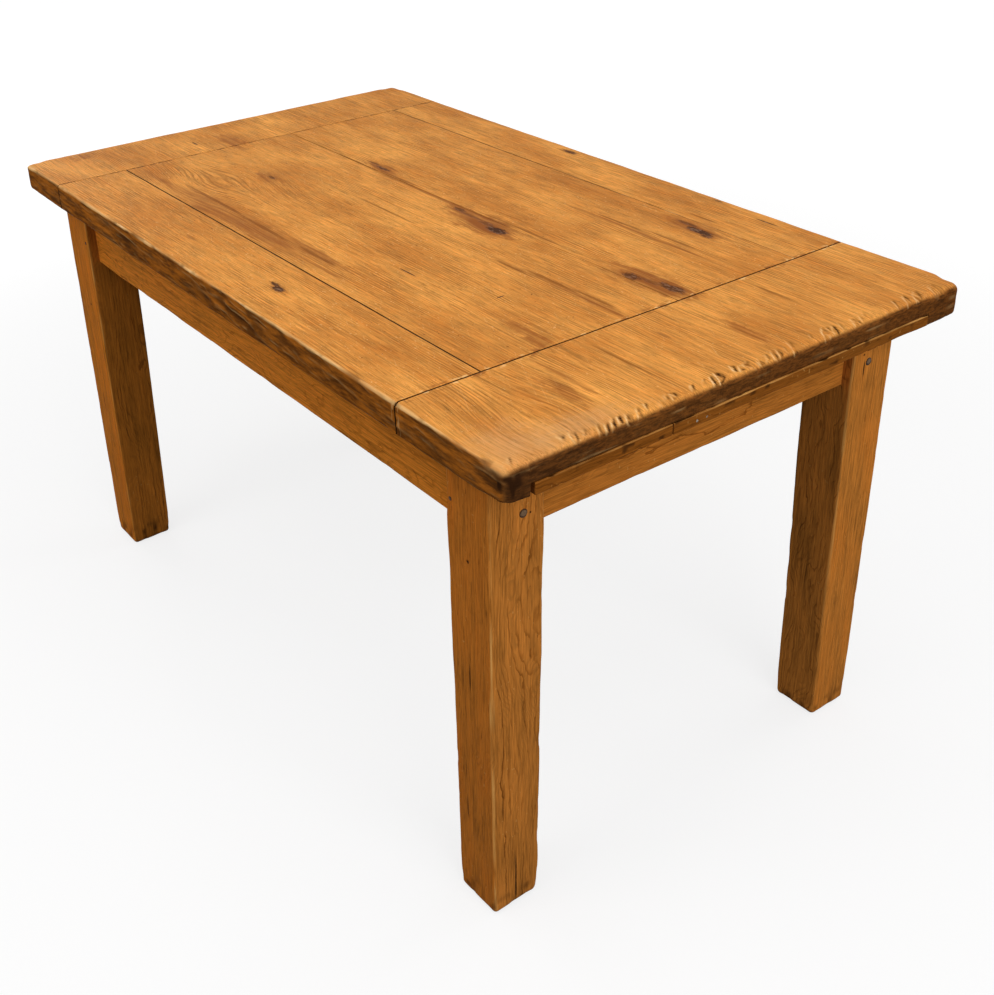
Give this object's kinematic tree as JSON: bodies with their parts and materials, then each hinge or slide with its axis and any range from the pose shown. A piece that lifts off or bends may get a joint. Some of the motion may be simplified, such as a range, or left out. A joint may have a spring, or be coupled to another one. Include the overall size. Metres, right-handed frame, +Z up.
{
  "type": "farmhouse table",
  "caption": "Rectangular pine farmhouse table: thick boarded top with end boards on square tapered legs, tenoned and pegged rails below.",
  "frame": {"origin": "on the floor under the middle of the top", "axes": "+X along the table to the end with the let-in edge strip, +Y to the back long side, +Z up"},
  "size_m": [1.4, 0.81, 0.765],
  "materials": {
    "top_pine": "old waxed pine, honey coloured, worn and knotty",
    "strip_pine": "long-grain pine, waxed",
    "frame_pine": "stained and waxed pine, orange brown, worn at the arrises",
    "peg_wood": "dark end-grain pegs",
    "inner_pine": "unfinished pine",
    "iron": "dull iron"
  },
  "bodies": {
    "root": {"edge_strip_far": "strip_pine", "edge_strip_nails": "iron", "edge_strip_near": "strip_pine", "end_board_left": "top_pine", "end_board_pegs_left": "peg_wood", "end_board_pegs_right": "peg_wood", "end_board_right": "top_pine", "end_rail_pegs": "peg_wood", "leg_back_left": "frame_pine", "leg_back_right": "frame_pine", "leg_front_left": "frame_pine", "leg_front_right": "frame_pine", "long_rail_pins": "peg_wood", "loose_tongue_back_joint": "inner_pine", "loose_tongue_front_joint": "inner_pine", "loose_tongue_middle_joint": "inner_pine", "rail_back": "frame_pine", "rail_front": "frame_pine", "rail_left": "frame_pine", "rail_right": "frame_pine", "top_board_back": "top_pine", "top_board_front": "top_pine", "top_board_middle_narrow": "top_pine", "top_board_middle_wide": "top_pine", "top_button_back_1": "inner_pine", "top_button_back_2": "inner_pine", "top_button_back_3": "inner_pine", "top_button_front_1": "inner_pine", "top_button_front_2": "inner_pine", "top_button_front_3": "inner_pine", "top_button_left_1": "inner_pine", "top_button_left_2": "inner_pine", "top_button_right_1": "inner_pine", "top_button_right_2": "inner_pine", "top_button_screws": "iron"}
  },
  "joints": []
}
